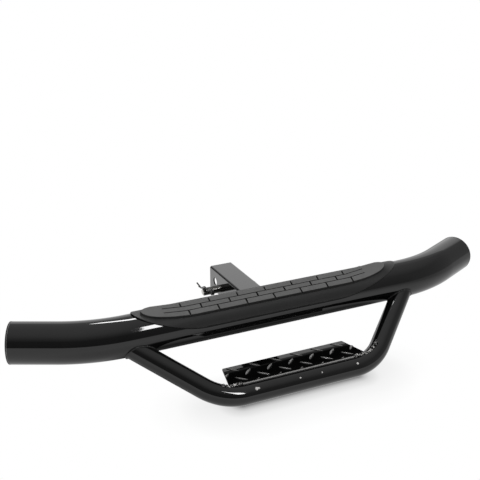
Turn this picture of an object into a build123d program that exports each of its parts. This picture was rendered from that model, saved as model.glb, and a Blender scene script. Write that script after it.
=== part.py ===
import os
from math import asin, atan2, cos, degrees, radians, sin, sqrt, tan

from build123d import *

# Hitch receiver step, in millimetres.
# The origin is the centre of the free pin hole, on the shank's axis.
# X runs along the step bar, +Y points along the shank into the receiver, Z is up.

# Step bar: round tube with both ends swept back
bar_diameter = 76.2
bar_wall = 2.0
bar_straight = 580.0
bar_bend_angle = 26.0
bar_bend_radius = 275.0
bar_end_straight = 79.5

# End caps: moulded plugs with a thin rim
cap_rim = 2.5
cap_rim_round = 1.1
cap_dome = 0.8
cap_wall = 2.5
cap_spigot_length = 24.0
cap_ridge_height = 0.9
cap_ridge_width = 2.4
cap_ridge_count = 3
cap_clearance = 0.15

# Receiver shank: square tube, its top face level with the bar's axis
shank_width = 50.8
shank_wall = 3.0
shank_corner = 4.0
shank_bore_corner = 1.0
shank_reach = 230.5
shank_saddle_angle = 60.0
free_hole_from_end = 25.4
pin_hole_from_end = 63.5

# Hitch pin: bent round bar with a cross hole for the clip
pin_diameter = 15.9
pin_clearance = 0.4
pin_clip_reach = 34.6
pin_nose = 11.0
pin_nose_chamfer = 2.5
pin_arm_offset = 24.0
pin_arm_length = 68.0
pin_bend_radius = 18.0
pin_arm_chamfer = 1.2

# Hairpin clip: sprung wire with a coil in front, a straight leg and a humped leg
clip_wire = 3.2
clip_clearance = 0.3
clip_tilt = 9.0
clip_tail = 44.0
clip_coil_reach = 29.5
clip_coil_radius = 5.2
clip_coil_turns = 1.5
clip_hump_slope = 20.0
clip_dip = 20.0
clip_valley = 16.0
clip_flare_length = 40.0
clip_flare_height = 9.5
clip_bend_radius = 8.0

# Hanging step: smaller round tube bent into a wide U, its plane through the bar's axis
step_diameter = 38.1
step_wall = 2.0
step_tilt = 50.0
step_leg_angle = 45.0
step_corner_x = 157.0
step_drop = 157.0
step_bend_radius = 102.0

# Tread plate: lies on the lower run of the hanging step and reaches back under the bar
plate_thickness = 3.0
plate_front_setback = 4.5
plate_depth = 64.5
plate_end_margin = 8.0
plate_side_taper = 20.5
plate_corner_radius = 3.0
lug_length = 27.0
lug_width = 6.6
lug_height = 1.2
lug_side_slope = 35.0
lug_pitch = 44.5
lug_row_pitch = 18.7
lug_row_count = 4
lug_side_count = 4
lug_back_margin = 13.0
lug_shift = 20.5

# Step pad: flat raised top on a thin skirt that wraps the bar
pad_tilt = 26.0
pad_shift = -9.0
pad_clearance = 0.2
skirt_thickness = 2.5
skirt_wrap = 54.0
skirt_end_margin = 10.0
skirt_front_curve = 134.0
skirt_back_curve = 15.0
skirt_tip = 22.0
top_rise = 7.0
top_end_margin = 14.0
top_front = 16.4
top_back = 15.6
top_flare = 4.6
top_flare_run = 62.0
top_tip = 13.0
top_front_curve = 107.0
top_back_curve = 20.0
top_edge_round = 1.2
groove_width = 1.6
groove_depth = 1.8
groove_spread = 5.0
groove_end_margin = 46.0
groove_flare_run = 40.0
groove_shift = -7.0
slot_width = 3.2
slot_depth = 3.0
slot_pitch = 57.0
back_slot_count = 7
middle_slot_count = 6
front_slot_count = 7
shift_back = -12.0
shift_middle = -3.0
shift_front = -1.0

# Pad clips: push-in plugs between the pad and the bar's wall
plug_count = 4
plug_head_radius = 5.6
plug_head_height = 1.8
plug_neck_radius = 3.4
plug_barb_radius = 4.4
plug_barb_height = 4.0
plug_barb_count = 2
plug_clearance = 0.25

# Weld beads
leg_bead = 2.0
shank_bead = 4.5
tread_bead_radius = 4.0
tread_bead_length = 13.0
tread_bead_inset = 25.0

# Values that follow from the sizes above
bar_radius = bar_diameter / 2
bar_axis_y = free_hole_from_end - shank_reach
bar_axis_z = shank_width / 2
step_radius = step_diameter / 2
pin_radius = pin_diameter / 2
pin_y = free_hole_from_end - pin_hole_from_end
pin_hole_radius = pin_radius + pin_clearance
clip_x = -(shank_width / 2 + pin_clip_reach)
wire_radius = clip_wire / 2
tread_y = bar_axis_y - step_drop * sin(radians(step_tilt))
tread_z = bar_axis_z - step_drop * cos(radians(step_tilt))
plate_front_half = step_corner_x - plate_end_margin
plate_back_half = plate_front_half - plate_side_taper
pad_seat = bar_radius + pad_clearance
skirt_radius = pad_seat + skirt_thickness
skirt_half_length = bar_straight / 2 - abs(pad_shift) - skirt_end_margin
top_half_length = skirt_half_length - top_end_margin
groove_half_length = top_half_length - groove_end_margin
pad_plane = Plane(
    origin=(pad_shift, bar_axis_y, bar_axis_z),
    x_dir=(1, 0, 0),
    z_dir=(0, -sin(radians(pad_tilt)), cos(radians(pad_tilt))),
)
plug_places = [slot_pitch * (2 * k - plug_count + 1) + shift_middle for k in range(plug_count)]


def rod_along(path, radius):
    """Round solid that follows a path."""
    section = Plane(origin=path @ 0, z_dir=path % 0) * Circle(radius)
    return sweep(section, path=path)


def rod_along_x(radius, length):
    """Round solid along X, centred on the origin."""
    return Rot(0, 90, 0) * Cylinder(radius, length)


def bar_path():
    """Centre line of the bar: a straight run and two swept-back ends."""
    bend = radians(bar_bend_angle)
    bend_run = bar_bend_radius * tan(bend / 2)
    knee_x = bar_straight / 2 + bend_run
    tip_run = bend_run + bar_end_straight
    tip_x = knee_x + tip_run * cos(bend)
    tip_y = tip_run * sin(bend)
    line = FilletPolyline((-tip_x, tip_y), (-knee_x, 0), (knee_x, 0), (tip_x, tip_y), radius=bar_bend_radius)
    return Pos(0, bar_axis_y, bar_axis_z) * line


def step_path():
    """Centre line of the hanging step, from one crossing of the bar's axis to the other."""
    top_x = step_corner_x + step_drop * tan(radians(step_leg_angle))
    line = FilletPolyline(
        (-top_x, 0),
        (-step_corner_x, -step_drop),
        (step_corner_x, -step_drop),
        (top_x, 0),
        radius=step_bend_radius,
    )
    return Pos(0, bar_axis_y, bar_axis_z) * Rot(90 - step_tilt, 0, 0) * line


bar_line = bar_path()
step_line = step_path()
bar_filled = rod_along(bar_line, bar_radius)
bar_middle = Pos(0, bar_axis_y, bar_axis_z) * rod_along_x(bar_radius, bar_straight)
step_filled = rod_along(step_line, step_radius)


def make_main_tube():
    """Bar with a bore and one hole for each pad clip."""
    tube = bar_filled - rod_along(bar_line, bar_radius - bar_wall)
    for place in plug_places:
        hole = Cylinder(plug_neck_radius + plug_clearance, bar_radius * 2, align=(Align.CENTER, Align.CENTER, Align.MIN))
        tube -= pad_plane * Pos(place, 0, 0) * hole
    return tube


def make_end_cap(end):
    """Plug turned about its own axis: domed rim outside, ridged spigot inside."""
    bore = bar_radius - bar_wall
    ridge_top = bore - cap_clearance
    spigot = ridge_top - cap_ridge_height
    pitch = cap_spigot_length / cap_ridge_count
    outside = [(spigot, 0)]
    for k in range(cap_ridge_count):
        start = -pitch * k - pitch / 2 + cap_ridge_width / 2
        outside += [(spigot, start), (ridge_top, start - cap_ridge_width / 2), (spigot, start - cap_ridge_width)]
    outside.append((spigot, -cap_spigot_length))
    inside = [(spigot - cap_wall, -cap_spigot_length), (spigot - cap_wall, 0), (0, 0)]
    profile = Polyline(*outside) + Polyline(outside[-1], *inside)
    crown = ThreePointArc(
        (0, cap_rim + cap_dome),
        ((bar_radius - cap_rim_round) / 2, cap_rim + cap_dome * 0.75),
        (bar_radius - cap_rim_round, cap_rim),
    )
    rim = RadiusArc((bar_radius - cap_rim_round, cap_rim), (bar_radius, cap_rim - cap_rim_round), cap_rim_round)
    seat = Polyline((bar_radius, cap_rim - cap_rim_round), (bar_radius, 0), (spigot, 0))
    axis_line = Line((0, 0), (0, cap_rim + cap_dome))
    face = make_face(profile + seat + rim + crown + axis_line)
    cap = revolve(Plane.XZ * face, axis=Axis.Z)
    out = bar_line % end
    if end == 0:
        out = -out
    return Plane(origin=bar_line @ end, z_dir=out) * cap


def pad_outline(half_length, tip, front, front_curve, back, back_curve, flare):
    """Long outline with elliptical ends, its back edge flaring out towards them."""
    front_straight = half_length - front_curve
    back_straight = half_length - back_curve
    half = Curve() + [
        Line((0, -front), (front_straight, -front)),
        EllipticalCenterArc((front_straight, tip), front_curve, front + tip, 270, arc_size=90),
        EllipticalCenterArc((back_straight, tip), back_curve, back + flare - tip, 0, arc_size=90),
        Polyline((back_straight, back + flare), (back_straight - top_flare_run, back), (0, back)),
    ]
    return make_face(half + mirror(half, about=Plane.YZ))


def groove(y):
    """One lengthwise groove: straight along the bricks, leaning back at both ends."""
    depth = groove_depth * 2
    straight = groove_half_length - groove_flare_run
    lean = atan2(top_flare, groove_flare_run)
    cuts = [Pos(0, y, 0) * Box(straight * 2, groove_width, depth)]
    for side in (-1, 1):
        end = Pos(side * (straight + groove_flare_run / 2), y + top_flare / 2, 0) * Rot(0, 0, side * degrees(lean))
        cuts.append(end * Box(groove_flare_run / cos(lean), groove_width, depth))
    return Part() + cuts


def slot_row(count, shift, near, far):
    """One row of cross slots between the brick blocks, from line near to line far."""
    depth = slot_depth * 2
    slots = []
    for k in range(count):
        x = shift + slot_pitch * (k - (count - 1) / 2)
        slots.append(Pos(x, (near + far) / 2, bar_radius + top_rise) * Box(slot_width, abs(far - near), depth))
    return slots


def make_step_pad():
    """Moulded pad: raised brick top and skirt, with a pocket under it for each clip head."""
    top_height = bar_radius + top_rise
    skirt_half = skirt_radius * sin(radians(skirt_wrap))
    skirt_face = pad_outline(
        skirt_half_length, skirt_tip, skirt_half, skirt_front_curve, skirt_half, skirt_back_curve, 0
    )
    skirt = rod_along_x(skirt_radius, skirt_half_length * 3) & extrude(skirt_face, top_height)
    top_face = pad_outline(top_half_length, top_tip, top_front, top_front_curve, top_back, top_back_curve, top_flare)
    top = extrude(top_face, top_height)
    top = fillet(top.faces().sort_by(Axis.Z)[-1].edges(), top_edge_round)
    pad = skirt + top - rod_along_x(pad_seat, skirt_half_length * 3)
    cuts = []
    for y in (-groove_spread, groove_spread):
        cuts.append(Pos(groove_shift, 0, top_height) * groove(y))
    cuts += slot_row(back_slot_count, shift_back, groove_spread, top_back * 2)
    cuts += slot_row(middle_slot_count, shift_middle, -groove_spread, groove_spread)
    cuts += slot_row(front_slot_count, shift_front, -groove_spread, -top_front * 2)
    pocket_height = bar_radius + plug_head_height + plug_clearance * 2
    for place in plug_places:
        pocket = Cylinder(
            plug_head_radius + plug_clearance, pocket_height, align=(Align.CENTER, Align.CENTER, Align.MIN)
        )
        cuts.append(Pos(place, 0, 0) * pocket)
    return pad_plane * (pad - cuts)


def make_pad_clip(place):
    """Push-in plug: flat head on the bar, neck through its wall, barbs inside."""
    head_bottom = bar_radius
    wall_inside = sqrt((bar_radius - bar_wall) ** 2 - plug_barb_radius**2)
    barb_top = wall_inside - plug_clearance
    outline = [(0, head_bottom + plug_head_height), (plug_head_radius, head_bottom + plug_head_height)]
    outline += [(plug_head_radius, head_bottom), (plug_neck_radius, head_bottom), (plug_neck_radius, barb_top)]
    for k in range(plug_barb_count):
        level = barb_top - plug_barb_height * k
        outline += [(plug_barb_radius, level), (plug_neck_radius, level - plug_barb_height)]
    outline.append((0, barb_top - plug_barb_height * plug_barb_count))
    plug = revolve(Plane.XZ * make_face(Polyline(*outline, close=True)), axis=Axis.Z)
    return pad_plane * Pos(place, 0, 0) * plug


def make_step_tube():
    """Hanging step with its leg ends shaped to the bar."""
    return step_filled - rod_along(step_line, step_radius - step_wall) - bar_filled


def lug_shape():
    """One raised lug: a pointed lens with sloping sides."""
    arc_radius = (lug_length**2 + lug_width**2) / (4 * lug_width)
    offset = arc_radius - lug_width / 2
    lens = Pos(0, offset) * Circle(arc_radius) & Pos(0, -offset) * Circle(arc_radius)
    return extrude(lens, lug_height, taper=lug_side_slope)


def make_tread_plate():
    """Plate with crossed rows of raised lugs, cut to the outline and to the tube's bends."""
    front = plate_front_setback
    back = front + plate_depth
    blank = Polygon(
        (-plate_front_half, front),
        (plate_front_half, front),
        (plate_back_half, back),
        (-plate_back_half, back),
        align=None,
    )
    blank = fillet(blank.vertices().sort_by(Axis.Y)[-2:], plate_corner_radius)
    lug = lug_shape()
    lugs = []
    for row in range(lug_row_count):
        lean = 1 if row % 2 else -1
        row_shift = lug_shift - lug_pitch / 2 if row % 2 else lug_shift
        y = back - lug_back_margin - lug_row_pitch * row
        for k in range(-lug_side_count, lug_side_count + 1):
            x = row_shift + lug_pitch * k
            lugs.append(Pos(x, y, plate_thickness) * Rot(0, 0, 45 * lean) * lug)
    raised = Part() + lugs
    plate = extrude(blank, plate_thickness) + (raised & extrude(blank, plate_thickness + lug_height))
    return Pos(0, tread_y, tread_z + step_radius) * plate - step_filled


def shank_section(width, corner):
    """Rounded square at the shank's rear end, facing the bar."""
    return Plane((0, free_hole_from_end, 0), x_dir=(1, 0, 0), z_dir=(0, -1, 0)) * RectangleRounded(width, width, corner)


def shank_filled():
    """Shank without its bore, saddled to the bar and with its lower front corner cut off."""
    solid = extrude(shank_section(shank_width, shank_corner), shank_reach)
    saddle = radians(shank_saddle_angle)
    saddle_y = bar_axis_y + bar_radius * cos(saddle)
    saddle_z = bar_axis_z - bar_radius * sin(saddle)
    size = shank_width * 3
    corner = Pos(0, saddle_y, saddle_z) * Rot(-45, 0, 0) * Box(
        size, size * 2, size, align=(Align.CENTER, Align.CENTER, Align.MAX)
    )
    return solid, corner


def make_receiver_shank():
    """Square tube with two cross holes, open at the rear."""
    solid, corner = shank_filled()
    bore = extrude(shank_section(shank_width - 2 * shank_wall, shank_bore_corner), shank_reach)
    shank = solid - bore - corner - bar_middle
    for y in (0, pin_y):
        shank -= Pos(0, y, 0) * rod_along_x(pin_hole_radius, shank_width * 2)
    return shank


def make_hitch_pin():
    """Bent pin, chamfered at both ends, with the clip's cross hole."""
    nose_x = clip_x - pin_nose
    arm_x = shank_width / 2 + pin_arm_offset
    line = FilletPolyline(
        (nose_x, pin_y, 0), (arm_x, pin_y, 0), (arm_x, pin_y, -pin_arm_length), radius=pin_bend_radius
    )
    pin = rod_along(line, pin_radius)
    pin = chamfer(pin.edges().sort_by(Axis.X)[0], pin_nose_chamfer)
    pin = chamfer(pin.edges().sort_by(Axis.Z)[0], pin_arm_chamfer)
    hole = Cylinder(wire_radius + clip_clearance, pin_diameter * 2)
    return pin - Pos(clip_x, pin_y, 0) * Rot(90 - clip_tilt, 0, 0) * hole


def make_hairpin_clip():
    """Wire clip in its own plane: x back along the straight leg, y up across the pin."""
    plane = Plane(
        origin=(clip_x, pin_y, 0),
        x_dir=(0, cos(radians(clip_tilt)), -sin(radians(clip_tilt))),
        z_dir=(1, 0, 0),
    )
    coil_pitch = clip_wire + clip_clearance
    coil_width = coil_pitch * clip_coil_turns
    coil_top = clip_coil_radius * 2
    hump_radius = pin_radius + clip_clearance + wire_radius
    hump_peak = hump_radius / cos(radians(clip_hump_slope))
    slope = tan(radians(clip_hump_slope))
    straight = Line((clip_tail, 0, 0), (-clip_coil_reach, 0, 0))
    coil = Pos(-clip_coil_reach, clip_coil_radius, -coil_width) * Rot(0, 0, 90) * Helix(
        coil_pitch, coil_width, clip_coil_radius
    )
    humped = FilletPolyline(
        (-clip_coil_reach, coil_top),
        (-clip_coil_reach + clip_coil_radius, coil_top),
        (-clip_valley, hump_peak - clip_valley * slope),
        (0, hump_peak),
        (clip_dip, hump_peak - clip_dip * slope),
        (clip_flare_length, clip_flare_height),
        radius=[clip_bend_radius, clip_bend_radius, hump_radius, clip_bend_radius],
    )
    humped = Pos(0, 0, -coil_width) * humped
    wire = Wire([straight.edge(), coil.edge(), *humped.edges()])
    return plane * rod_along(wire, wire_radius)


def make_leg_weld(side):
    """Bead in the corner between one leg of the hanging step and the bar."""
    half = Pos(side * bar_straight / 2, bar_axis_y, bar_axis_z) * Box(bar_straight, bar_straight, bar_straight)
    around_bar = rod_along(bar_line, bar_radius + leg_bead)
    around_leg = rod_along(step_line, step_radius + leg_bead) & half
    return (around_leg & around_bar) - step_filled - bar_filled


def make_shank_weld():
    """Three-sided fillet weld: across the shank's top face and down both sides of its saddle."""
    solid, corner = shank_filled()
    half = shank_width / 2
    top = Polygon((0, 0), (shank_bead, 0), (0, shank_bead), align=None)
    top = extrude(Plane((-half, bar_axis_y + bar_radius, bar_axis_z), x_dir=(0, 1, 0), z_dir=(1, 0, 0)) * top, shank_width)
    weld = top
    ring = Polygon((0, bar_radius), (shank_bead, bar_radius), (0, bar_radius + shank_bead), align=None)
    lift = shank_saddle_angle + 90
    sweep_angle = shank_saddle_angle + degrees(asin(shank_bead / bar_radius))
    for side in (-1, 1):
        flat = ring if side > 0 else mirror(ring, about=Plane.YZ)
        turn = revolve(Plane.XZ * Pos(side * half, 0) * flat, axis=Axis.X, revolution_arc=sweep_angle)
        weld += Pos(0, bar_axis_y, bar_axis_z) * Rot(-lift, 0, 0) * turn
    return weld - solid - bar_middle


def make_tread_weld(side, plate):
    """Short rounded bead at one end of the seam between plate and tube."""
    straight = tread_bead_length - 2 * tread_bead_radius
    bead = rod_along_x(tread_bead_radius, straight)
    for end in (-1, 1):
        bead += Pos(end * straight / 2, 0, 0) * Sphere(tread_bead_radius)
    x = side * (plate_front_half - tread_bead_inset)
    bead = Pos(x, tread_y + plate_front_setback, tread_z + step_radius + plate_thickness / 2) * bead
    return bead - plate - step_filled


tread_plate = make_tread_plate()
nodes = {
    "main_tube": make_main_tube(),
    "end_cap_left": make_end_cap(0),
    "end_cap_right": make_end_cap(1),
    "step_pad": make_step_pad(),
    "step_tube": make_step_tube(),
    "tread_plate": tread_plate,
    "receiver_shank": make_receiver_shank(),
    "hitch_pin": make_hitch_pin(),
    "hairpin_clip": make_hairpin_clip(),
    "weld_leg_left": make_leg_weld(-1),
    "weld_leg_right": make_leg_weld(1),
    "weld_shank": make_shank_weld(),
    "weld_tread_left": make_tread_weld(-1, tread_plate),
    "weld_tread_right": make_tread_weld(1, tread_plate),
}
for number, place in enumerate(plug_places, start=1):
    nodes[f"pad_clip_{number}"] = make_pad_clip(place)

os.makedirs("parts", exist_ok=True)
for name, shape in nodes.items():
    export_step(shape, f"parts/{name}.step")
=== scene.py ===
from math import cos, pi, radians, sin, tan

import bpy
from mathutils import Matrix, Vector


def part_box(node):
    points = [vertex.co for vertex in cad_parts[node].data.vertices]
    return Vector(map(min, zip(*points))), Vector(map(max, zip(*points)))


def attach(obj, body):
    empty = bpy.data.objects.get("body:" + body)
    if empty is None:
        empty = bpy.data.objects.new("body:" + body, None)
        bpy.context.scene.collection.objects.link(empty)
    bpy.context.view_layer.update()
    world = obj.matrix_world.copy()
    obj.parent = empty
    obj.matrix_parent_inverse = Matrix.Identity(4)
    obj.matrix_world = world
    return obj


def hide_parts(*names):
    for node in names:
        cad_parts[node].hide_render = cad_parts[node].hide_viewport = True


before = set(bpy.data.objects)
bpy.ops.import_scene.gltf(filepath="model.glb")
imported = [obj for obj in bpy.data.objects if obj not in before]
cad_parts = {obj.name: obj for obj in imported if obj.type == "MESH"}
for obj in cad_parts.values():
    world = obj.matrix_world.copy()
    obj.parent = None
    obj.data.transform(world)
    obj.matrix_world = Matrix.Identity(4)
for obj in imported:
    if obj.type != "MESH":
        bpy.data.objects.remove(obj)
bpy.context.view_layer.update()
print("frame loaded,", len(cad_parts), "nodes")


# shader sums: a Val is one socket, and arithmetic on it adds Math nodes
class Val:
    def __init__(self, finish, socket):
        self.finish = finish
        self.socket = socket

    def sum(self, operation, first, second):
        return self.finish.node("ShaderNodeMath", {"operation": operation}, {0: first, 1: second})

    def __add__(self, other):
        return self.sum("ADD", self, other)

    def __radd__(self, other):
        return self.sum("ADD", other, self)

    def __sub__(self, other):
        return self.sum("SUBTRACT", self, other)

    def __rsub__(self, other):
        return self.sum("SUBTRACT", other, self)

    def __mul__(self, other):
        return self.sum("MULTIPLY", self, other)

    def __rmul__(self, other):
        return self.sum("MULTIPLY", other, self)

    def __truediv__(self, other):
        return self.sum("DIVIDE", self, other)

    def __rtruediv__(self, other):
        return self.sum("DIVIDE", other, self)

    def __pow__(self, other):
        return self.sum("POWER", self, other)

    def __abs__(self):
        return self.finish.node("ShaderNodeMath", {"operation": "ABSOLUTE"}, {0: self})


# a material, or the world's tree, with short ways to add nodes to it
class Finish:
    def __init__(self, name, sockets=None, tree=None):
        self.material = None
        if tree is None:
            self.material = bpy.data.materials.new(name)
            self.material.use_nodes = True
            tree = self.material.node_tree
        self.tree = tree
        self.shader = tree.nodes.get("Principled BSDF")
        for socket, value in (sockets or {}).items():
            self.paint(socket, value)

    # any node: its type, its settings first, then values or links for its sockets
    def node(self, kind, settings=None, sockets=None, out=0):
        made = self.tree.nodes.new(kind)
        for key, value in (settings or {}).items():
            if key == "stops":
                while len(made.color_ramp.elements) < len(value):
                    made.color_ramp.elements.new(0.5)
                for stop, (place, shade) in zip(made.color_ramp.elements, value):
                    stop.position = place
                    stop.color = (shade, shade, shade, 1)
            else:
                setattr(made, key, value)
        for key, value in (sockets or {}).items():
            self.feed(made.inputs[key], value)
        return Val(self, made.outputs[out])

    def feed(self, socket, value):
        if isinstance(value, Val):
            self.tree.links.new(value.socket, socket)
        else:
            socket.default_value = value

    def paint(self, socket, value):
        self.feed(self.shader.inputs[socket], value)

    # what the tree ends in: a material's surface or the world's
    def close(self, output, value):
        self.feed(self.tree.nodes[output].inputs["Surface"], value)

    def place(self, turn=(0, 0, 0), shift=(0, 0, 0)):
        spot = self.node("ShaderNodeTexCoord", out="Object")
        return self.node("ShaderNodeMapping", {}, {"Vector": spot, "Rotation": turn, "Location": shift})

    # one number of a place: X, Y or Z
    def along(self, spot, axis):
        return self.node("ShaderNodeSeparateXYZ", {}, {0: spot}, out=axis)

    def larger(self, first, second):
        return self.node("ShaderNodeMath", {"operation": "MAXIMUM"}, {0: first, 1: second})

    # 1 for rays of one kind: Camera, Glossy or Transmission
    def ray(self, kind):
        return self.node("ShaderNodeLightPath", out="Is " + kind + " Ray")

    def grain(self, spot, scale, detail=2.0, rough=0.5):
        sockets = {"Vector": spot, "Scale": scale, "Detail": detail, "Roughness": rough}
        return self.node("ShaderNodeTexNoise", {}, sockets)

    def ramp(self, value, *stops):
        return self.node("ShaderNodeValToRGB", {"stops": stops}, {"Fac": value})

    def blend(self, mask, first, second):
        return self.node("ShaderNodeMix", {"data_type": "RGBA"}, {0: mask, 6: first, 7: second}, out=2)

    def bump(self, height, strength, depth):
        return self.node("ShaderNodeBump", {}, {"Height": height, "Strength": strength, "Distance": depth})


# gloss black paint over steel: slow waves, slight orange peel, a little dust in the gloss, bare steel for painted
# glints
# a zoom scales a short length up to the 0 to 1 of a ramp
paint = {
    "clean": (0.0018, 0.0018, 0.0019, 1),
    "dusty": (0.0045, 0.0045, 0.0045, 1),
    "bareAndGlint": (0.78, 0.77, 0.75, 1),  # steel where the paint is gone, laid on mostly as painted highlights and glints
    "bareMetal": 0.15,
    "rough": 0.022,
    "dustRough": 0.03,
    "grainRough": 0.012,
    "bareRough": 0.42,
    "coatRough": 0.05,
    "dustScale": 26,
    "waveScale": 65,
    "peelScale": 480,
    "peelShare": 0.15,
    "grainScale": 240,
    "bump": (0.009, 0.0008),  # strength, depth
    "edgeScale": 60,
    "edgeRagged": 0.0008,
    "edgeZoom": 400,
    "crestScale": 70,
    "crestRagged": 0.5,
    "crestZoom": 2000,
    "crestShare": 0.4,
    "chipScale": 45,
    "chipZoom": 500,
    "speckScale": 330,
    "speckStart": 0.62,
    "speckSpread": 0.3,
    "speckEdge": 0.08,
}


# painted highlights in bare steel colour: a line along an edge along X at (y, z), and on the lugs from the height
# crest over that edge, on a plate that sags behind it
def plateHighlights(finish, spot, edge, crest, sag):
    inLine = finish.node("ShaderNodeVectorMath", {"operation": "MULTIPLY"}, {0: spot, 1: (0, 1, 1)})
    ends = {0: inLine, 1: (0, *edge)}
    gap = finish.node("ShaderNodeVectorMath", {"operation": "DISTANCE"}, ends, out="Value")
    ragged = gap + finish.grain(spot, paint["edgeScale"], detail=3) * paint["edgeRagged"]
    edgeHighlight = finish.ramp(ragged * paint["edgeZoom"], (0.50, 1), (0.70, 0))
    behind = finish.along(spot, "Y") - edge[0]
    above = finish.along(spot, "Z") - edge[1] + behind * tan(sag)
    patchy = finish.grain(spot, paint["crestScale"], detail=1) * paint["crestRagged"]
    crestHighlight = finish.ramp((above - crest) * paint["crestZoom"] + patchy, (0.20, 0), (0.60, 1))
    return finish.larger(edgeHighlight, crestHighlight * paint["crestShare"])


# chips at both ends of a bar that is swept back by an angle, from a reach on along the ends' own direction, also
# painted glints on the rims
def endChipsAndGlints(finish, spot, angle, reach):
    outward = abs(finish.along(spot, "X")) * cos(angle) + finish.along(spot, "Y") * sin(angle)
    chips = finish.ramp(finish.grain(spot, paint["chipScale"], detail=3), (0.36, 0), (0.50, 1))
    return finish.ramp((outward - reach) * paint["chipZoom"], (0.3, 0), (0.6, 1)) * chips


# painted glints: light specks all over, more of them with a larger share
def glintSpecks(finish, spot, share):
    start = paint["speckStart"] - paint["speckSpread"] * share
    return finish.ramp(finish.grain(spot, paint["speckScale"]), (start, 0), (start + paint["speckEdge"], 1))


# the mask of wear and painted glints is one of the three above, and the rest is passed on to it
def makeBlackPaint(name, coat=0.0, wearAndGlints=None, **where):
    finish = Finish(name, {"IOR": 1.5, "Coat Weight": coat, "Coat Roughness": paint["coatRough"]})
    spot = finish.place()
    dust = finish.ramp(finish.grain(spot, paint["dustScale"], detail=5, rough=0.6), (0.45, 0), (0.85, 1))
    grain = finish.grain(spot, paint["grainScale"], detail=3)
    waves = finish.grain(spot, paint["waveScale"]) + finish.grain(spot, paint["peelScale"]) * paint["peelShare"]
    tint = finish.blend(dust, paint["clean"], paint["dusty"])
    rough = paint["rough"] + dust * paint["dustRough"] + grain * paint["grainRough"]
    if wearAndGlints:
        # light bare steel where the mask says: wear and painted highlights and glints
        bareAndGlint = wearAndGlints(finish, spot, **where)
        tint = finish.blend(bareAndGlint, tint, paint["bareAndGlint"])
        rough = rough + bareAndGlint * paint["bareRough"]
        finish.paint("Metallic", bareAndGlint * paint["bareMetal"])
    finish.paint("Base Color", tint)
    finish.paint("Roughness", rough)
    finish.paint("Normal", finish.bump(waves, *paint["bump"]))
    return finish.material


# satin plastic of the end caps and of the clips under the pad
capLook = {
    "low": (0.024, 0.024, 0.0245, 1),
    "high": (0.036, 0.036, 0.036, 1),
    "rough": 0.38,
    "cloudRough": 0.12,
    "cloudScale": 40,
    "speckScale": 1600,
    "bump": (0.18, 0.0002),
}


def makeCapPlastic(name):
    finish = Finish(name, {"IOR": 1.48})
    spot = finish.place()
    cloud = finish.grain(spot, capLook["cloudScale"], detail=4, rough=0.6)
    finish.paint("Base Color", finish.blend(cloud, capLook["low"], capLook["high"]))
    finish.paint("Roughness", capLook["rough"] + cloud * capLook["cloudRough"])
    finish.paint("Normal", finish.bump(finish.grain(spot, capLook["speckScale"]), *capLook["bump"]))
    return finish.material


# dull zinc plate on the pin, its free end painted light as a painted reflection on the end face, and darker spring
# wire
zincLook = {
    "plate": ((0.075, 0.074, 0.070, 1), (0.125, 0.123, 0.118, 1)),
    "plateRough": 0.10,
    "wire": ((0.05, 0.05, 0.05, 1), (0.09, 0.09, 0.09, 1)),
    "wireRough": 0.18,
    # light colour of the pin's free end, a painted reflection
    "ground": (0.52, 0.51, 0.49, 1),
    "endZoom": 400,
    "cloudRough": 0.12,
    "cloudScale": 160,
    "speckScale": 900,
    "bump": (0.10, 0.0002),
}


def makeZinc(name, tones, rough, endAt=None):
    finish = Finish(name, {"Metallic": 1.0})
    spot = finish.place()
    cloud = finish.grain(spot, zincLook["cloudScale"], detail=5, rough=0.65)
    tint = finish.blend(cloud, *tones)
    if endAt is not None:
        # painted reflection: a light colour towards the free end
        inward = finish.along(spot, "X") - endAt
        tint = finish.blend(finish.ramp(inward * zincLook["endZoom"], (0.1, 1), (0.5, 0)), tint, zincLook["ground"])
    finish.paint("Base Color", tint)
    finish.paint("Roughness", rough + cloud * zincLook["cloudRough"])
    finish.paint("Normal", finish.bump(finish.grain(spot, zincLook["speckScale"], detail=3), *zincLook["bump"]))
    return finish.material


blackPaint = makeBlackPaint("blackPaint")
shankPaint = makeBlackPaint("shankPaint", coat=0.6)
# painted glints: light specks on the tread welds, and all over the spatter drops
weldGlintPaint = makeBlackPaint("weldGlintPaint", wearAndGlints=glintSpecks, share=0.36)
spatterGlintPaint = makeBlackPaint("spatterGlintPaint", wearAndGlints=glintSpecks, share=1.0)
capPlastic = makeCapPlastic("capPlastic")
clipPlastic = makeCapPlastic("clipPlastic")
zincPlate = makeZinc("zincPlate", zincLook["plate"], zincLook["plateRough"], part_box("hitch_pin")[0].x)
springWire = makeZinc("springWire", zincLook["wire"], zincLook["wireRough"])
nodeFinishes = {
    "end_cap_left": capPlastic,
    "end_cap_right": capPlastic,
    "receiver_shank": shankPaint,
    "hitch_pin": zincPlate,
    "hairpin_clip": springWire,
    "pad_clip_1": clipPlastic,
    "pad_clip_2": clipPlastic,
    "pad_clip_3": clipPlastic,
    "pad_clip_4": clipPlastic,
}
for nodeName, finishMade in nodeFinishes.items():
    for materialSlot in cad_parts[nodeName].material_slots:
        materialSlot.material = finishMade
print("finishes made")


def pickOnly(*pieces):
    bpy.ops.object.select_all(action="DESELECT")
    for piece in pieces:
        piece.select_set(True)
    bpy.context.view_layer.objects.active = pieces[0]


def settle(piece):
    pickOnly(piece)
    bpy.ops.object.transform_apply(location=True, rotation=True, scale=True)


def applyAll(piece):
    pickOnly(piece)
    for modifier in list(piece.modifiers):
        bpy.ops.object.modifier_apply(modifier=modifier.name)


# corners picked by their place, with the faces and edges let go first
def pickCorners(piece, wanted):
    bpy.context.tool_settings.mesh_select_mode = (True, False, False)
    for part in (*piece.data.polygons, *piece.data.edges):
        part.select = False
    for corner in piece.data.vertices:
        corner.select = wanted(corner.co)
    pickOnly(piece)


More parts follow.
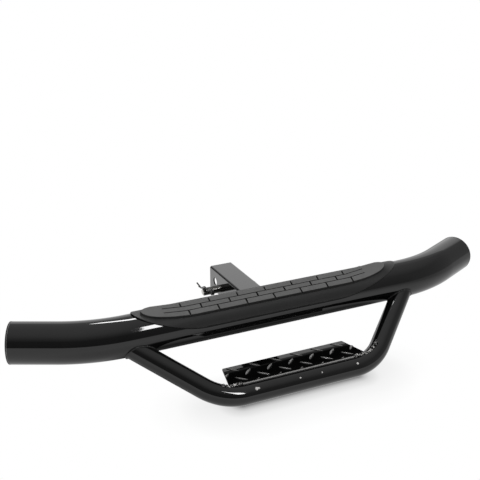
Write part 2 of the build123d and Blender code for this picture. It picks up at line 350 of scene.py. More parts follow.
def pickFaces(piece, wanted):
    bpy.context.tool_settings.mesh_select_mode = (False, False, True)
    for part in (*piece.data.vertices, *piece.data.edges):
        part.select = False
    for face in piece.data.polygons:
        face.select = wanted(face)
    pickOnly(piece)


def facesOutward(piece):
    pickOnly(piece)
    bpy.ops.object.mode_set(mode="EDIT")
    bpy.ops.mesh.select_all(action="SELECT")
    bpy.ops.mesh.remove_doubles(threshold=1e-6)
    bpy.ops.mesh.normals_make_consistent(inside=False)
    bpy.ops.object.mode_set(mode="OBJECT")


def copyOf(piece):
    copy = piece.copy()
    copy.data = piece.data.copy()
    bpy.context.collection.objects.link(copy)
    return copy


# the others become part of the first
def joinAll(*pieces):
    pickOnly(*pieces)
    bpy.ops.object.join()
    return bpy.context.object


def carve(piece, tool, operation):
    cut = piece.modifiers.new("cut", "BOOLEAN")
    cut.operation = operation
    cut.solver = "EXACT"
    cut.object = tool
    applyAll(piece)


def drop(*pieces):
    for piece in pieces:
        bpy.data.objects.remove(piece, do_unlink=True)


def dress(piece, material, slotName, *nodeNames, angle=40):
    piece.data.materials.clear()
    piece.data.materials.append(material)
    pickOnly(piece)
    bpy.ops.object.shade_smooth_by_angle(angle=radians(angle))
    even = piece.modifiers.new("even", "WEIGHTED_NORMAL")  # flat faces stay flat beside rounded edges
    even.keep_sharp = True
    applyAll(piece)
    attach(piece, "step_frame")
    if nodeNames:
        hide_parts(*nodeNames)


# edges sharper than the angle are rounded
def soften(piece, width, angle=30):
    soft = piece.modifiers.new("edge", "BEVEL")
    soft.width = width
    soft.segments = 2
    soft.limit_method = "ANGLE"
    soft.angle_limit = radians(angle)
    applyAll(piece)


# a ring pushed along straight runs and spun round bends, a run is a length or (radius, angle)
def runRing(name, radius, sides, steps, start, heading, turnAxis, runs):
    bpy.ops.object.select_all(action="DESELECT")
    tilt = heading.to_track_quat("Z", "Y").to_euler()
    bpy.ops.mesh.primitive_circle_add(vertices=sides, radius=radius, location=start, rotation=tilt)
    tube = bpy.context.object
    tube.name = name
    settle(tube)
    bpy.ops.object.mode_set(mode="EDIT")
    bpy.ops.mesh.select_all(action="SELECT")
    spot = start.copy()
    way = heading.copy()
    for run in runs:
        if isinstance(run, tuple):
            middle = spot + turnAxis.cross(way) * run[0]
            bpy.ops.mesh.spin(steps=steps, angle=-run[1], center=middle, axis=turnAxis)
            turn = Matrix.Rotation(run[1], 3, turnAxis)
            spot = middle + turn @ (spot - middle)
            way = turn @ way
        else:
            bpy.ops.mesh.extrude_region_move(TRANSFORM_OT_translate={"value": way * run})
            spot = spot + way * run
    bpy.ops.object.mode_set(mode="OBJECT")
    facesOutward(tube)
    return tube


def closeEnds(tube):
    pickOnly(tube)
    bpy.ops.object.mode_set(mode="EDIT")
    bpy.ops.mesh.select_all(action="SELECT")
    bpy.ops.mesh.fill_holes(sides=0)
    bpy.ops.object.mode_set(mode="OBJECT")
    facesOutward(tube)
    return tube


def giveWall(tube, wall):
    skin = tube.modifiers.new("wall", "SOLIDIFY")
    skin.thickness = wall
    skin.offset = -1
    applyAll(tube)


# step bar, its ends chipped a little way in from the rim, the chips also painted glints
bar = {
    "sides": 144,
    "bendSteps": 52,
    "wall": 0.002,
    "straight": 0.580,
    "bendAngle": radians(26),
    "bendRadius": 0.275,
    "endRun": 0.0795,
    "rim": 0.0009,
    "rimAngle": 60,
    "chipWidth": 0.00144,
}
barLo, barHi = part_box("main_tube")
barRadius = (barHi.z - barLo.z) / 2
barAxis = Vector((0, barLo.y + barRadius, (barLo.z + barHi.z) / 2))


def makeBar(name):
    bend = bar["bendAngle"]
    x = bar["straight"] / 2 + bar["bendRadius"] * sin(bend) + bar["endRun"] * cos(bend)
    y = bar["bendRadius"] * (1 - cos(bend)) + bar["endRun"] * sin(bend)
    corner = (bar["bendRadius"], bend)
    runs = [bar["endRun"], corner, bar["straight"], corner, bar["endRun"]]
    start = barAxis + Vector((-x, y, 0))
    heading = Vector((cos(bend), -sin(bend), 0))
    return runRing(name, barRadius, bar["sides"], bar["bendSteps"], start, heading, Vector((0, 0, 1)), runs)


# how far the bar's end face lies from the origin, along the swept-back end
def endReach():
    bend = bar["bendAngle"]
    fromAxis = bar["straight"] / 2 * cos(bend) + bar["bendRadius"] * sin(bend) + bar["endRun"]
    return fromAxis + barAxis.y * sin(bend)


barSkin = makeBar("barSkin")
giveWall(barSkin, bar["wall"])
soften(barSkin, bar["rim"], bar["rimAngle"])
barPaint = makeBlackPaint(
    "barPaint", wearAndGlints=endChipsAndGlints, angle=bar["bendAngle"], reach=endReach() - bar["chipWidth"]
)
dress(barSkin, barPaint, "black_paint", "main_tube")
barCore = closeEnds(makeBar("barCore"))
print("step bar made")

# hanging step
hoop = {
    "sides": 96,
    "bendSteps": 20,
    "radius": 0.01905,
    "wall": 0.002,
    "tilt": radians(50),
    "legAngle": radians(45),
    "cornerX": 0.157,
    "drop": 0.157,
    "bendRadius": 0.102,
}
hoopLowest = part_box("step_tube")[0].z
hoopUp = Vector((0, sin(hoop["tilt"]), cos(hoop["tilt"])))
hoopTurn = Vector((1, 0, 0)).cross(hoopUp)
treadAxis = barAxis - hoopUp * hoop["drop"]


def makeHoop(name):
    lean = hoop["legAngle"]
    heading = Vector((sin(lean), 0, 0)) - hoopUp * cos(lean)
    start = barAxis - Vector((hoop["cornerX"] + hoop["drop"] * tan(lean), 0, 0))
    trim = hoop["bendRadius"] * tan((pi / 2 - lean) / 2)
    corner = (hoop["bendRadius"], pi / 2 - lean)
    legRun = hoop["drop"] / cos(lean) - trim
    runs = [legRun, corner, 2 * (hoop["cornerX"] - trim), corner, legRun]
    return runRing(name, hoop["radius"], hoop["sides"], hoop["bendSteps"], start, heading, hoopTurn, runs)


hoopSkin = makeHoop("hoopSkin")
giveWall(hoopSkin, hoop["wall"])
carve(hoopSkin, barCore, "DIFFERENCE")
dress(hoopSkin, blackPaint, "black_paint", "step_tube")
hoopCore = closeEnds(makeHoop("hoopCore"))
print("hanging step made")

# tread plate with raised lugs
tread = {
    "thick": 0.003,
    "setback": 0.0045,
    "depth": 0.0645,
    "frontHalf": 0.144,
    "backHalf": 0.1285,
    "frontCorner": 0.0072,
    "backCorner": 0.0024,
    "cornerSteps": 6,
    "edgeRound": 0.0004,
    "sag": radians(1.0),  # the back edge hangs a little
    "lugLength": 0.027,
    "lugWidth": 0.0066,
    "lugHeight": 0.0013,
    "lugSides": 128,
    "lugBlank": 0.002,
    "lugFloor": (-0.0006, 0.00005),  # underside in the plate, and the height where the lug starts to rise
    "lugCrown": (  # along, across, height
        (0.97, 0.80, 0.30),
        (0.93, 0.55, 0.62),
        (0.88, 0.30, 0.88),
        (0.82, 0.12, 1.0),
    ),
    "lugLean": radians(45),
    "pitch": 0.0445,
    "rowPitch": 0.0187,
    "rows": 4,
    "sideCount": 4,
    "backMargin": 0.013,
    "shift": 0.0205,
    "highlightLine": 0.35,  # share of the plate's thickness where the front edge gets its painted highlight
    "highlightCrest": 0.70,  # share of a lug's height where its painted highlight starts
}
treadTop = treadAxis.z + hoop["radius"]
treadFront = treadAxis.y + tread["setback"]


# flat blank at the given height, wide in front and narrower behind
def makeBlank(name, height):
    bpy.ops.object.select_all(action="DESELECT")
    middle = treadFront + tread["depth"] / 2
    bpy.ops.mesh.primitive_plane_add(size=1, location=(0, middle, treadTop))
    blank = bpy.context.object
    blank.name = name
    blank.scale = (2 * tread["frontHalf"], tread["depth"], 1)
    settle(blank)
    taper = tread["backHalf"] / tread["frontHalf"]
    steps = tread["cornerSteps"]
    pickCorners(blank, lambda spot: spot.y > middle)
    bpy.ops.object.mode_set(mode="EDIT")
    bpy.ops.transform.resize(value=(taper, 1, 1), center_override=(0, middle, treadTop))
    bpy.ops.mesh.bevel(offset=tread["backCorner"], segments=steps, affect="VERTICES")
    bpy.ops.object.mode_set(mode="OBJECT")
    pickCorners(blank, lambda spot: spot.y < middle)
    bpy.ops.object.mode_set(mode="EDIT")
    bpy.ops.mesh.bevel(offset=tread["frontCorner"], segments=steps, affect="VERTICES")
    bpy.ops.mesh.select_all(action="SELECT")
    bpy.ops.mesh.extrude_region_move(TRANSFORM_OT_translate={"value": (0, 0, height)})
    bpy.ops.object.mode_set(mode="OBJECT")
    facesOutward(blank)
    return blank


# one lug: the lens shared by two round discs, its top raised and drawn in by steps to a low crown
def makeLug():
    arc = (tread["lugLength"] ** 2 + tread["lugWidth"] ** 2) / (4 * tread["lugWidth"])
    offset = arc - tread["lugWidth"] / 2
    discs = []
    for side in (-1, 1):
        bpy.ops.object.select_all(action="DESELECT")
        bpy.ops.mesh.primitive_cylinder_add(
            vertices=tread["lugSides"], radius=arc, depth=tread["lugBlank"], location=(0, side * offset, 0)
        )
        discs.append(bpy.context.object)
        settle(discs[-1])
    lug, other = discs
    carve(lug, other, "INTERSECT")
    drop(other)
    lug.name = "lug"
    under, over = tread["lugFloor"]
    for corner in lug.data.vertices:
        corner.co.z = over if corner.co.z > 0 else under
    pickFaces(lug, lambda face: face.normal.z > 0.9)
    bpy.ops.object.mode_set(mode="EDIT")
    before = (1, 1, 0)
    for along, across, height in tread["lugCrown"]:
        rise = tread["lugHeight"] * (height - before[2])
        bpy.ops.mesh.extrude_region_move(TRANSFORM_OT_translate={"value": (0, 0, rise)})
        bpy.ops.transform.resize(value=(along / before[0], across / before[1], 1), center_override=(0, 0, 0))
        before = (along, across, height)
    bpy.ops.object.mode_set(mode="OBJECT")
    return lug


def makeTread():
    lug = makeLug()
    spread = []
    back = treadFront + tread["depth"]
    for row in range(tread["rows"]):
        lean = 1 if row % 2 else -1
        shift = tread["shift"] - (tread["pitch"] / 2 if row % 2 else 0)
        y = back - tread["backMargin"] - tread["rowPitch"] * row
        for k in range(-tread["sideCount"], tread["sideCount"] + 1):
            copy = copyOf(lug)
            copy.location = (shift + tread["pitch"] * k, y, treadTop + tread["thick"])
            copy.rotation_euler = (0, 0, tread["lugLean"] * lean)
            spread.append(copy)
    drop(lug)
    lugs = joinAll(*spread)
    settle(lugs)
    fence = makeBlank("fence", tread["thick"] + 2 * tread["lugHeight"])  # lugs end where the plate does
    carve(lugs, fence, "INTERSECT")
    drop(fence)
    plate = makeBlank("treadSheet", tread["thick"])
    soften(plate, tread["edgeRound"])
    carve(plate, hoopCore, "DIFFERENCE")
    joinAll(plate, lugs)
    front = Vector((0, treadFront, treadTop + tread["thick"]))
    fall = Matrix.Rotation(-tread["sag"], 4, "X")
    plate.matrix_world = Matrix.Translation(front) @ fall @ Matrix.Translation(-front)
    settle(plate)
    return plate


treadSheet = makeTread()
highlightLine = tread["thick"] * tread["highlightLine"]
# tread paint with painted highlights along the front edge and on the lug crests
treadPaint = makeBlackPaint(
    "treadPaint",
    wearAndGlints=plateHighlights,
    edge=(treadFront, treadTop + highlightLine),
    crest=tread["thick"] - highlightLine + tread["lugHeight"] * tread["highlightCrest"],
    sag=tread["sag"],
)
dress(treadSheet, treadPaint, "black_paint", "tread_plate", angle=60)
print("tread plate made")

# weld beads, a chain of small overlapping drops melted into one skin
weld = {
    "dropFaces": (12, 8),
    "ripple": 0.05,  # share by which the drops' sizes differ
    "rippleStep": 2.3,
    "voxel": 0.0005,
    "easeSteps": 3,
    "legBead": 0.0019,
    "legSteps": 72,
    "legLook": 0.12,  # from here down the leg, looking up to the bar
    "legLift": 0.15,
    "shankBead": 0.0040,
    "shankHalf": 0.0254,
    "shankArc": radians(58),
    "shankSteps": (16, 24),  # down a side, across the top
    "treadBead": 0.0034,
    "treadStart": 0.124,
    "treadDrops": (  # outward, back, up
        (-0.004, 0, 0),
        (-0.001, 0, 0.0006),
        (0.006, 0, -0.0004),
        (0.011, 0, 0.0004),
        (0.016, -0.001, 0),
    ),
    "endDrops": (  # on up the bend
        (0.021, -0.0015, 0.0014),
        (0.026, -0.0012, 0.0030),
        (0.031, 0.0010, 0.0052),
        (0.037, 0.0040, 0.0082),
        (0.043, 0.0066, 0.0116),
        (0.048, 0.0090, 0.0150),
    ),
    "endCount": {"left": 3, "right": 6},
}


def makeBead(name, spots, size):
    bpy.ops.object.select_all(action="DESELECT")
    around, rings = weld["dropFaces"]
    bpy.ops.mesh.primitive_uv_sphere_add(segments=around, ring_count=rings, radius=size)
    first = bpy.context.object
    chain = []
    for k, spot in enumerate(spots):
        copy = copyOf(first)
        copy.location = spot
        copy.scale = (1 + weld["ripple"] * sin(k * weld["rippleStep"]),) * 3
        chain.append(copy)
    drop(first)
    bead = joinAll(*chain)
    bead.name = name
    settle(bead)
    melt = bead.modifiers.new("melt", "REMESH")
    melt.mode = "VOXEL"
    melt.voxel_size = weld["voxel"]
    melt.use_smooth_shade = True
    ease = bead.modifiers.new("ease", "SMOOTH")
    ease.iterations = weld["easeSteps"]
    applyAll(bead)
    return bead


# the leg's seam on the bar, found by looking along the leg's wall
def legSeam(side):
    lean = hoop["legAngle"]
    down = Vector((-side * sin(lean), 0, 0)) - hoopUp * cos(lean)
    top = barAxis + Vector((side * (hoop["cornerX"] + hoop["drop"] * tan(lean)), 0, 0))
    out = hoopTurn
    over = down.cross(out)
    spots = []
    for k in range(weld["legSteps"]):
        turn = 2 * pi * k / weld["legSteps"]
        ray = (out * cos(turn) + over * sin(turn)) * hoop["radius"]
        place, normal = barSkin.ray_cast(top + ray + down * weld["legLook"], -down)[1:3]
        spots.append(place + (normal + ray / hoop["radius"]) * weld["legBead"] * weld["legLift"])
    return spots


# down both sides of the shank and across its top, where it meets the bar
def shankSeam():
    half = weld["shankHalf"]
    sideSteps, topSteps = weld["shankSteps"]
    turns = [weld["shankArc"] * k / sideSteps for k in range(1, sideSteps + 1)]
    sweep = [Vector((0, barRadius * cos(turn), -barRadius * sin(turn))) for turn in turns]
    left = [barAxis + spot - Vector((half, 0, 0)) for spot in reversed(sweep)]
    top = [barAxis + Vector((2 * half * k / topSteps - half, barRadius, 0)) for k in range(topSteps + 1)]
    right = [barAxis + spot + Vector((half, 0, 0)) for spot in sweep]
    return left + top + right


for side, tag in ((-1, "left"), (1, "right")):
    legWeld = makeBead("legWeld." + tag, legSeam(side), weld["legBead"])
    dress(legWeld, blackPaint, "black_paint", "weld_leg_" + tag)
    seam = Vector((side * weld["treadStart"], treadFront, treadTop + tread["thick"] / 2))
    places = weld["treadDrops"] + weld["endDrops"][:weld["endCount"][tag]]
    drops = [seam + Vector((side * out, back, lift)) for out, back, lift in places]
    treadWeld = makeBead("treadWeld." + tag, drops, weld["treadBead"])
    # the tread welds carry painted glints as light specks
    dress(treadWeld, weldGlintPaint, "black_paint", "weld_tread_" + tag)
shankWeld = makeBead("shankWeld", shankSeam(), weld["shankBead"])
dress(shankWeld, blackPaint, "black_paint", "weld_shank")

# a few drops of weld spatter on the lower run, covered with painted glints
spatter = {
    "drops": (  # along X, width
        (-0.098, 0.0056),
        (-0.0938, 0.0036),
        (-0.009, 0.0032),
        (0.037, 0.0026),
        (0.114, 0.0040),
    ),
    "dropFaces": (16, 10),
    "round": radians(41),  # from straight up towards the front
    "length": 1.2,  # shares of the width
    "height": 0.70,
    "foot": 1.35,
    "footUnder": -0.1,  # a drop a metre wide spreads below this
}


def makeSpatter():
    bpy.ops.object.select_all(action="DESELECT")
    around, rings = spatter["dropFaces"]
    bpy.ops.mesh.primitive_uv_sphere_add(segments=around, ring_count=rings, radius=0.5)
    first = bpy.context.object
    pickCorners(first, lambda spot: spot.z < spatter["footUnder"])
    bpy.ops.object.mode_set(mode="EDIT")
    bpy.ops.transform.resize(value=(spatter["foot"], spatter["foot"], 1), center_override=(0, 0, 0))
    bpy.ops.object.mode_set(mode="OBJECT")
    out = Vector((0, -sin(spatter["round"]), cos(spatter["round"])))
    drops = []
    for x, width in spatter["drops"]:
        copy = copyOf(first)
        copy.scale = (width * spatter["length"], width, width * spatter["height"])
        copy.rotation_euler = out.to_track_quat("Z", "Y").to_euler()
        copy.location = treadAxis + Vector((x, 0, 0)) + out * hoop["radius"]
        drops.append(copy)
    drop(first)
    joined = joinAll(*drops)
    joined.name = "weldSpatter"
    settle(joined)
    facesOutward(joined)
    return joined


dress(makeSpatter(), spatterGlintPaint, "black_paint", angle=60)
drop(barCore, hoopCore)
print("weld beads made")

# step pad: the moulded skin with its brick edges softened, and low ribs along every brick
pad = {
    "tilt": radians(26),
    "height": 0.007,  # of the brick tops over the bar
    "shift": -0.009,
    "edge": 0.0005,
    "edgeAngle": 40,
    "flatAngle": radians(0.5),  # loose triangles that are flatter than this become one face
    "slotWidth": 0.0032,
    "pitch": 0.057,
    "rows": ((7, -0.012, 0.0101), (6, -0.003, 0.0), (7, -0.001, -0.0105)),  # slots, shift, middle of the row
    "flareStart": (-0.178, 0.164),
    "flareRun": 0.040,
    "flareRise": 0.0046,
    "ribs": 3,
    "ribSides": 10,
    "ribInset": 0.25,
    "ribEnd": 0.97,  # share of its length where a rib starts to fall away
    "ribPitch": 0.0026,
    "ribWidth": 0.0015,
    "ribHeight": 0.0002,
    "ribGap": 0.0012,
    "ribLeast": 0.006,  # a shorter rib before the flare is left out
    "tipFrom": 0.12,
    "tipReach": 0.016,
    "rimGap": 0.0004,  # the skirt's lower corners lie this near the bar
    "rimHeight": 0.004,  # and its upper ones this near
}

# painted light: paler top, darker and smoother walls and skirt, paler tips; painted shade in the seam on the bar;
# fine stipple
padLook = {
    "litTopTone": ((0.135, 0.135, 0.134, 1), (0.190, 0.190, 0.188, 1)),
    "shadedSideTone": ((0.017, 0.017, 0.017, 1), (0.027, 0.027, 0.027, 1)),
    "tipSheen": (0.085, 0.085, 0.084, 1),
    "seamShade": (0.001, 0.001, 0.001, 1),
    "rough": 0.44,
    "topRough": 0.18,
    "cloudRough": 0.1,
    "seamRough": 0.4,
    "topDepth": 0.0007,
    "topZoom": 1400,
    "seamZoom": 400,
    "tipsFrom": 0.24,
    "tipsZoom": 20,
    "cloudScale": 34,
    "speckScale": 900,
    "bump": (0.28, 0.0003),
}
padTop = barRadius + pad["height"]
padTurn = Matrix.Translation(barAxis + Vector((pad["shift"], 0, 0))) @ Matrix.Rotation(pad["tilt"], 4, "X")


# its coordinates are turned with the pad, and start at the bar's axis
def makePadPlastic():
    finish = Finish("padPlastic", {"IOR": 1.48, "Specular IOR Level": 0.3})
    tilt = pad["tilt"]
    across = barAxis.y * cos(tilt) + barAxis.z * sin(tilt)
    level = barAxis.z * cos(tilt) - barAxis.y * sin(tilt)
    spot = finish.place((-tilt, 0, 0), (0, -across, -level))
    outward = abs(finish.along(spot, "X"))
    sideways = finish.along(spot, "Y")
    up = finish.along(spot, "Z")
    cloud = finish.grain(spot, padLook["cloudScale"], detail=4, rough=0.6)
    # the top is painted paler as lit from above, the walls and skirt darker as painted shade
    top = finish.ramp((up - (padTop - padLook["topDepth"])) * padLook["topZoom"], (0.1, 0), (0.9, 1))
    # painted shade in the seam where the skirt meets the bar, which is also made rougher
    fromBar = (sideways * sideways + up * up) ** 0.5 - barRadius
    seam = finish.ramp(fromBar * padLook["seamZoom"], (0.30, 1), (0.75, 0))
    # painted highlight: paler tips of the skirt
    atEnds = finish.ramp((outward - padLook["tipsFrom"]) * padLook["tipsZoom"], (0.1, 0), (0.7, 1))
    tipSheen = atEnds * finish.ramp(up * padLook["tipsZoom"], (0.5, 0), (0.75, 1))
    sides = finish.blend(tipSheen, finish.blend(cloud, *padLook["shadedSideTone"]), padLook["tipSheen"])
    seamShaded = finish.blend(seam, sides, padLook["seamShade"])
    finish.paint("Base Color", finish.blend(top, seamShaded, finish.blend(cloud, *padLook["litTopTone"])))
    rough = padLook["rough"] + top * padLook["topRough"]
    finish.paint("Roughness", rough + cloud * padLook["cloudRough"] + seam * padLook["seamRough"])
    finish.paint("Normal", finish.bump(finish.grain(spot, padLook["speckScale"]), *padLook["bump"]))
    return finish.material


# one rib a metre long, its ends drawn down, to be scaled to each brick
def makeRib():
    bpy.ops.object.select_all(action="DESELECT")
    bpy.ops.mesh.primitive_cylinder_add(vertices=pad["ribSides"], radius=0.5, depth=1, rotation=(0, pi / 2, 0))
    rib = bpy.context.object
    rib.name = "rib"
    settle(rib)
    pickFaces(rib, lambda face: abs(face.normal.x) > 0.9)
    bpy.ops.object.mode_set(mode="EDIT")
    bpy.ops.mesh.inset(thickness=pad["ribInset"])
    bpy.ops.object.mode_set(mode="OBJECT")
    pickCorners(rib, lambda spot: abs(spot.x) > 0.4 and Vector((spot.y, spot.z)).length > 0.4)
    bpy.ops.object.mode_set(mode="EDIT")
    bpy.ops.transform.resize(value=(pad["ribEnd"], 1, 1), center_override=(0, 0, 0))
    bpy.ops.object.mode_set(mode="OBJECT")
    return rib


# where the ribs run: between the slots of a row, and out to its ends, where the rows flare
def brickRuns():
    runs = []
    trim = pad["slotWidth"] / 2 + pad["ribGap"]
    rise = pad["flareRise"] / pad["flareRun"]
    for count, shift, middle in pad["rows"]:
        slots = [shift + pad["pitch"] * (k - (count - 1) / 2) for k in range(count)]
        for first, second in zip(slots, slots[1:]):
            runs.append(((first + trim, middle), (second - trim, middle)))
        for side, slot, flare in zip((-1, 1), (slots[0], slots[-1]), pad["flareStart"]):
            near = side * slot + trim
            bend = max(side * flare, near)
            far = side * flare + pad["flareRun"]
            if bend - near > pad["ribLeast"]:
                runs.append(((side * near, middle), (side * bend, middle)))
            flared = middle + (bend - side * flare) * rise
            runs.append(((side * bend, flared), (side * far, middle + pad["flareRise"])))
    return runs


# the skirt's rim at the right end, drawn out towards its tip
def drawOutTip(skin):
    corners = skin.data.vertices
    fromAxis = [Vector((corner.co.y - barAxis.y, corner.co.z - barAxis.z)).length for corner in corners]
    seat = min(fromAxis)
    start = pad["tipFrom"]
    tip = max(corner.co.x for corner in corners)
    atEnd = {corner.index for corner in corners if corner.co.x > start}
    lower = {k for k in atEnd if fromAxis[k] < seat + pad["rimGap"]}
    upper = set()
    for edge in skin.data.edges:
        pair = set(edge.vertices)
        if len(pair & lower) == 1:
            upper |= {k for k in pair - lower if k in atEnd and fromAxis[k] < seat + pad["rimHeight"]}
    for k in lower | upper:
        share = (corners[k].co.x - start) / (tip - start)
        corners[k].co.x += pad["tipReach"] * share ** 3


def makePad():
    skin = copyOf(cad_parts["step_pad"])
    skin.name = "padSkin"
    facesOutward(skin)
    pickOnly(skin)
    bpy.ops.object.mode_set(mode="EDIT")
    bpy.ops.mesh.select_all(action="SELECT")
    bpy.ops.mesh.dissolve_limited(angle_limit=pad["flatAngle"])
    bpy.ops.object.mode_set(mode="OBJECT")
    drawOutTip(skin)
    soften(skin, pad["edge"], pad["edgeAngle"])
    rib = makeRib()
    ribs = []
    for first, second in brickRuns():
        along = Vector((*second, 0)) - Vector((*first, 0))
        size = Matrix.Diagonal((along.length, pad["ribWidth"], pad["ribHeight"] * 2, 1))
        turn = Matrix.Rotation(Vector((1, 0)).angle_signed(Vector((along.x, -along.y))), 4, "Z")
        for k in range(pad["ribs"]):
            copy = copyOf(rib)
            step = pad["ribPitch"] * (k - (pad["ribs"] - 1) / 2)
            middle = Vector(((first[0] + second[0]) / 2, (first[1] + second[1]) / 2 + step, padTop))
            copy.matrix_world = padTurn @ Matrix.Translation(middle) @ turn @ size
            ribs.append(copy)
    drop(rib)
    ribbing = joinAll(*ribs)
    settle(ribbing)
    facesOutward(ribbing)
    return joinAll(skin, ribbing)


padSkin = makePad()
dress(padSkin, makePadPlastic(), "pad_plastic", "step_pad", angle=30)
print("step pad made")

# camera at the photograph's angle
shot = {
    "target": Vector((-0.0668, -0.2051, 0.1709)),
    "azimuth": radians(-25.86),
    "elevation": radians(21.0),
    "distance": 1.6737,
    "lens": 68.81,
    "sensor": 36,
}
away = Vector((
    sin(shot["azimuth"]) * cos(shot["elevation"]),
    -cos(shot["azimuth"]) * cos(shot["elevation"]),
    sin(shot["elevation"]),
))
cameraData = bpy.data.cameras.new("camera")
cameraData.lens = shot["lens"]
cameraData.sensor_width = shot["sensor"]
camera = bpy.data.objects.new("camera", cameraData)
bpy.context.collection.objects.link(camera)
camera.location = shot["target"] + away * shot["distance"]
camera.rotation_euler = away.to_track_quat("Z", "Y").to_euler()
bpy.context.scene.camera = camera

# one tall narrow softbox in front and a small strip over the back
lights = {
    "keySoftbox": {
        "place": (3.02, -6.53, 7.03),
        "aim": (-0.20, -0.28, 0.0),
        "size": (0.76, 3.1),
        "twist": radians(-20),
        "watts": 175,
    },
    "backStrip": {
        "place": (0.10, 0.53, 1.30),
        "aim": (-0.30, -0.21, 0.06),
        "size": (0.62, 0.10),
        "twist": radians(-38),
        "watts": 3.9,
    },
}


def addSoftbox(name, look):
    data = bpy.data.lights.new(name, "AREA")
    data.shape = "RECTANGLE"
    data.size, data.size_y = look["size"]
    data.energy = look["watts"]
    box = bpy.data.objects.new(name, data)
    bpy.context.collection.objects.link(box)
    box.location = look["place"]
    facing = (Vector(look["place"]) - Vector(look["aim"])).to_track_quat("Z", "Y").to_matrix()
    box.rotation_euler = (facing @ Matrix.Rotation(look["twist"], 3, "Z")).to_euler()


for lightName, lightLook in lights.items():
    addSoftbox(lightName, lightLook)

# white floor with a painted soft shadow where the lower run touches it, and under the bar a painted darker pool for
# the gloss alone
# a ramp's stops are (distance from a line on the floor, share of white)
ground = {
    "size": 12.0,
    "gap": 0.0005,
    "matte": ((0.80, 0.80, 0.80, 1), (0.83, 0.83, 0.83, 1)),
    "speckleScale": 6,
    "runHalf": 0.12,
    "paintedContactShadow": ((0.003, 0.12), (0.010, 0.40), (0.016, 0.62), (0.024, 0.80), (0.045, 0.94), (0.12, 1.0)),
    "plain": ((0.02, 0.85), (0.05, 0.95), (0.12, 1.0)),  # the rest is left to the lights and their shadows
    "besideHalf": 0.19,
    "besideBack": 0.02,
    # a wider, fainter painted shade around the lower run
    "paintedBesideShade": ((0.0, 0.93), (0.04, 0.96), (0.10, 1.0)),
    "poolHalf": 0.20,
    "poolBack": 0.04,
    "paintedPool": ((0.08, 0.10), (0.14, 0.72), (0.35, 1.0)),
    # the painted pool grows darker towards the right
    "poolRightShade": ((0.35, 1.0), (0.9, 0.55)),  # along X
}

bpy.ops.object.select_all(action="DESELECT")
bpy.ops.mesh.primitive_plane_add(size=ground["size"], location=(0, 0, hoopLowest - ground["gap"]))
floor = bpy.context.object
floor.name = "floor"
settle(floor)
floorFinish = Finish("paleFloor")
floorFinish.tree.nodes.remove(floorFinish.shader)
floorSpot = floorFinish.place()
floorX = floorFinish.along(floorSpot, "X")
floorY = floorFinish.along(floorSpot, "Y")
speckle = floorFinish.grain(floorSpot, ground["speckleScale"], detail=3)
matte = floorFinish.node("ShaderNodeBsdfDiffuse", {}, {"Color": floorFinish.blend(speckle, *ground["matte"])})


# distance on the floor from a line along X at the given y, half as long as half says
def floorGap(y, half):
    beyond = floorFinish.larger(abs(floorX) - half, 0.0)
    return (beyond * beyond + (floorY - y) ** 2) ** 0.5


fromRun = floorGap(treadAxis.y, ground["runHalf"])
fromHoop = floorGap(treadAxis.y + ground["besideBack"], ground["besideHalf"])
fromBar = floorGap(barAxis.y + ground["poolBack"], ground["poolHalf"])
# painted shadow: the glow seen by the camera darkens near the lower run
paintedShadow = floorFinish.ramp(fromRun, *ground["paintedContactShadow"]) * floorFinish.ramp(fromHoop, *ground["paintedBesideShade"])
plain = floorFinish.ramp(fromRun, *ground["plain"])
# painted shadow under the bar, seen only in the gloss
paintedPool = floorFinish.ramp(fromBar, *ground["paintedPool"]) * floorFinish.ramp(floorX, *ground["poolRightShade"])
seen = floorFinish.ray("Camera")
mirrored = floorFinish.ray("Glossy")
through = floorFinish.ray("Transmission")
glowTint = seen * paintedShadow + mirrored * paintedPool + through
glow = floorFinish.node("ShaderNodeEmission", {}, {"Color": glowTint, "Strength": 1.0})
glowShare = seen * plain + mirrored + through
floorFinish.close("Material Output", floorFinish.node("ShaderNodeMixShader", {}, {0: glowShare, 1: matte, 2: glow}))
floor.data.materials.append(floorFinish.material)

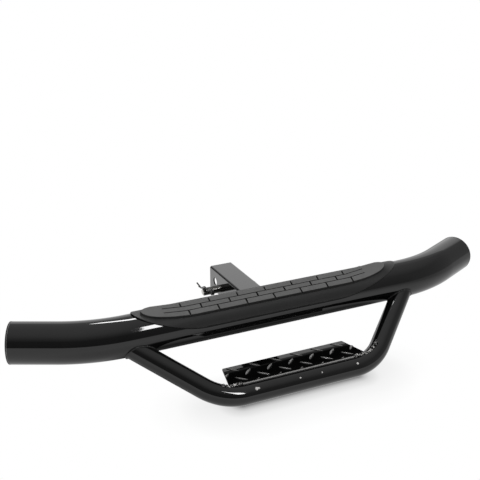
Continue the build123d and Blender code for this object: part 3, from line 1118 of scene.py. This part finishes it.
# room: white backdrop behind, dim in front, grey at the sides, darker low at the left
# a side's stops are (how far a direction turns towards it, share), a tone's are (height, shade)
room = {
    "frontWay": (-0.342, -0.940),
    "frontSide": ((0.75, 0), (0.91, 1)),
    "backSide": ((0.065, 1), (0.14, 0)),
    "leftSide": ((0.34, 0.8), (0.46, 0)),
    "leftTop": ((0.45, 1), (0.7, 0)),
    "frontTone": ((0.0, 0.14), (0.5, 0.17), (0.70, 0.38), (0.86, 0.60), (1.0, 0.72)),
    "sideTone": ((0.0, 0.36), (0.6, 0.36), (1.0, 0.72)),
    "backTone": ((0.0, 1.0), (0.51, 1.0), (0.53, 0.5), (1.0, 0.72)),
    "backdropTop": ((0.51, 1), (0.53, 0)),
}
world = bpy.data.worlds.new("studioWorld")
bpy.context.scene.world = world
world.use_nodes = True
sky = Finish("sky", tree=world.node_tree)
way = sky.node("ShaderNodeTexCoord", out="Generated")
wayX = sky.along(way, "X")
wayY = sky.along(way, "Y")
wayZ = sky.along(way, "Z")
level = (wayX * wayX + wayY * wayY + 0.0001) ** 0.5  # never 0, so that straight up can be divided by it
frontX, frontY = room["frontWay"]
facing = (wayX * frontX + wayY * frontY) / level * 0.5 + 0.5
frontShare = sky.ramp(facing, *room["frontSide"])
backShare = sky.ramp(facing, *room["backSide"])
leftDark = sky.ramp(wayX / level * 0.5 + 0.5, *room["leftSide"]) * sky.ramp(wayZ, *room["leftTop"])
sideTone = sky.ramp(wayZ, *room["sideTone"]) * (1 - backShare) + sky.ramp(wayZ, *room["backTone"]) * backShare
tone = sky.ramp(wayZ, *room["frontTone"]) * frontShare + sideTone * (1 - leftDark) * (1 - frontShare)
backdrop = backShare * sky.ramp(wayZ, *room["backdropTop"]) * (1 - frontShare)
grey = sky.node("ShaderNodeBackground", {}, {"Color": tone, "Strength": 1.0})
white = sky.node("ShaderNodeBackground", {}, {"Color": (1, 1, 1, 1), "Strength": 1.0})
whiteShare = sky.ray("Camera") + sky.ray("Glossy") * backdrop + sky.ray("Transmission")
sky.close("World Output", sky.node("ShaderNodeMixShader", {}, {0: whiteShare, 1: grey, 2: white}))
bpy.context.scene.view_settings.view_transform = "Standard"
print("studio made")
